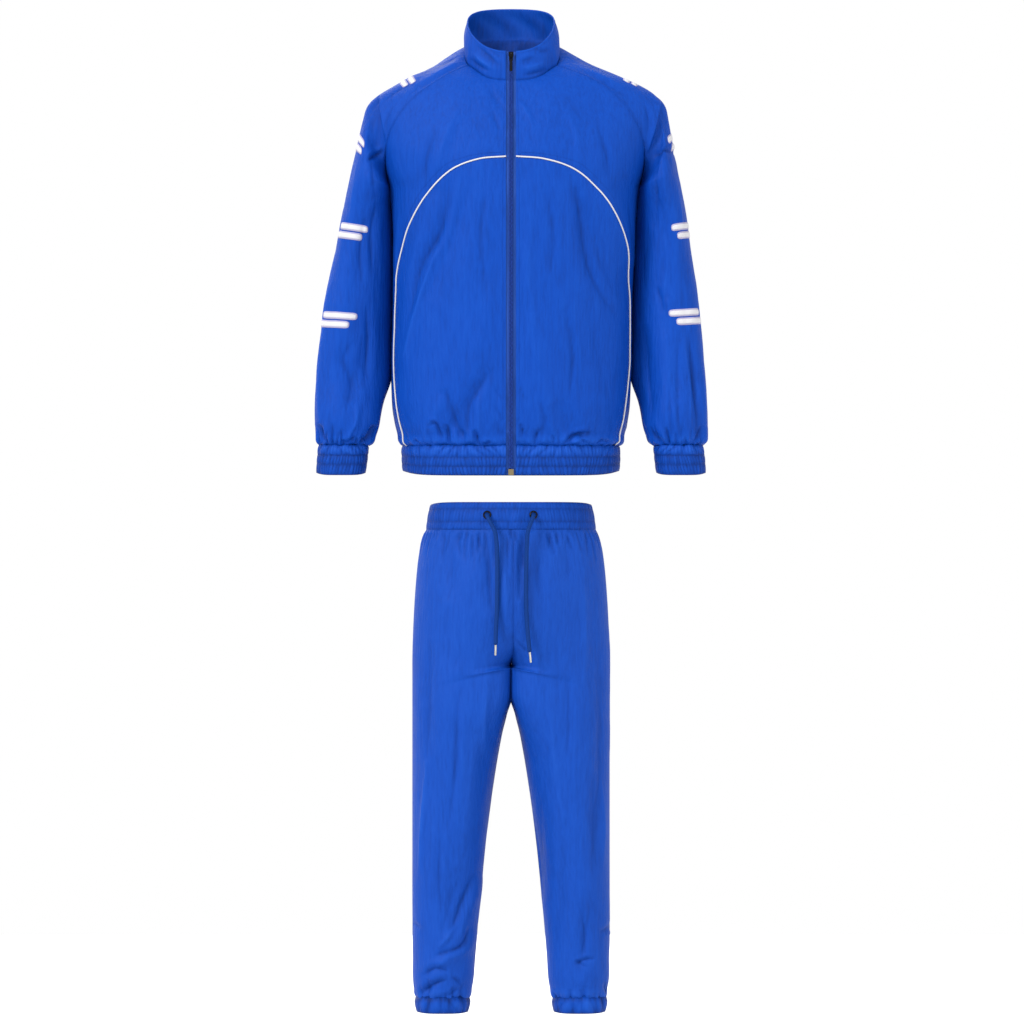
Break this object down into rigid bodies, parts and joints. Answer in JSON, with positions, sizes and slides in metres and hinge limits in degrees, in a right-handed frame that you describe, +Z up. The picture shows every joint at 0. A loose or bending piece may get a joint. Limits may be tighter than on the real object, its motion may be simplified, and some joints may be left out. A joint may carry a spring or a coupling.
{
  "type": "tracksuit",
  "caption": "Nylon tracksuit set: blue zip jacket with stand collar, raglan sleeves, white piped arch seam and white sleeve bars, with matching cuffed drawstring trousers",
  "frame": {"origin": "Centre of the jacket's neck, level with the shoulder tops at the collar's foot, where a wearer or a hanger holds the jacket", "axes": "+Z up, the front of both garments faces -Y, +X is the right side of the picture (the wearer's left); the trousers hang below the jacket as in the picture"},
  "size_m": [0.708, 0.2849, 1.81],
  "materials": {
    "jacket_cloth": "crinkled nylon, soft sheen",
    "trouser_cloth": "crinkled nylon, soft sheen",
    "gathered_bands": "nylon gathered over elastic, two stitch rows",
    "white_satin": "white satin",
    "zip_tape": "woven tape with a nylon coil",
    "drawcord": "braided cord",
    "cord_tip": "bright metal",
    "black_metal": "gloss black",
    "zip_box": "dull brass"
  },
  "bodies": {
    "suit": {"back": "jacket_cloth", "collar": "jacket_cloth", "hem_band": "gathered_bands", "front_centre_left": "jacket_cloth", "front_centre_right": "jacket_cloth", "front_outer_left": "jacket_cloth", "front_outer_right": "jacket_cloth", "piping_left": "white_satin", "piping_right": "white_satin", "sleeve_left": "jacket_cloth", "sleeve_right": "jacket_cloth", "cuff_left": "gathered_bands", "cuff_right": "gathered_bands", "zip_tape_left": "zip_tape", "zip_tape_right": "zip_tape", "zip_chain": "zip_tape", "zip_slider": "black_metal", "zip_box": "zip_box", "mark_left_1_upper": "white_satin", "mark_left_1_lower": "white_satin", "mark_left_2_upper": "white_satin", "mark_left_2_lower": "white_satin", "mark_left_3_upper": "white_satin", "mark_left_3_lower": "white_satin", "mark_left_4_upper": "white_satin", "mark_left_4_lower": "white_satin", "mark_right_1_upper": "white_satin", "mark_right_1_lower": "white_satin", "mark_right_2_upper": "white_satin", "mark_right_2_lower": "white_satin", "mark_right_3_upper": "white_satin", "mark_right_3_lower": "white_satin", "mark_right_4_upper": "white_satin", "mark_right_4_lower": "white_satin", "trouser_front_left": "trouser_cloth", "trouser_front_right": "trouser_cloth", "trouser_back_left": "trouser_cloth", "trouser_back_right": "trouser_cloth", "ankle_band_left": "gathered_bands", "ankle_band_right": "gathered_bands", "eyelet_left": "black_metal", "eyelet_right": "black_metal", "drawcord_left": "drawcord", "drawcord_right": "drawcord", "cord_tip_left": "cord_tip", "cord_tip_right": "cord_tip", "waistband": "gathered_bands"},
    "pull_tab": {"zip_pull": "black_metal"}
  },
  "joints": [
    {"name": "pull_swing", "type": "hinge", "parent": "suit", "child": "pull_tab", "pos_m": [0, -0.08109, 0.0219], "axis": [-1, 0, 0], "range_deg": [0, 150]}
  ]
}
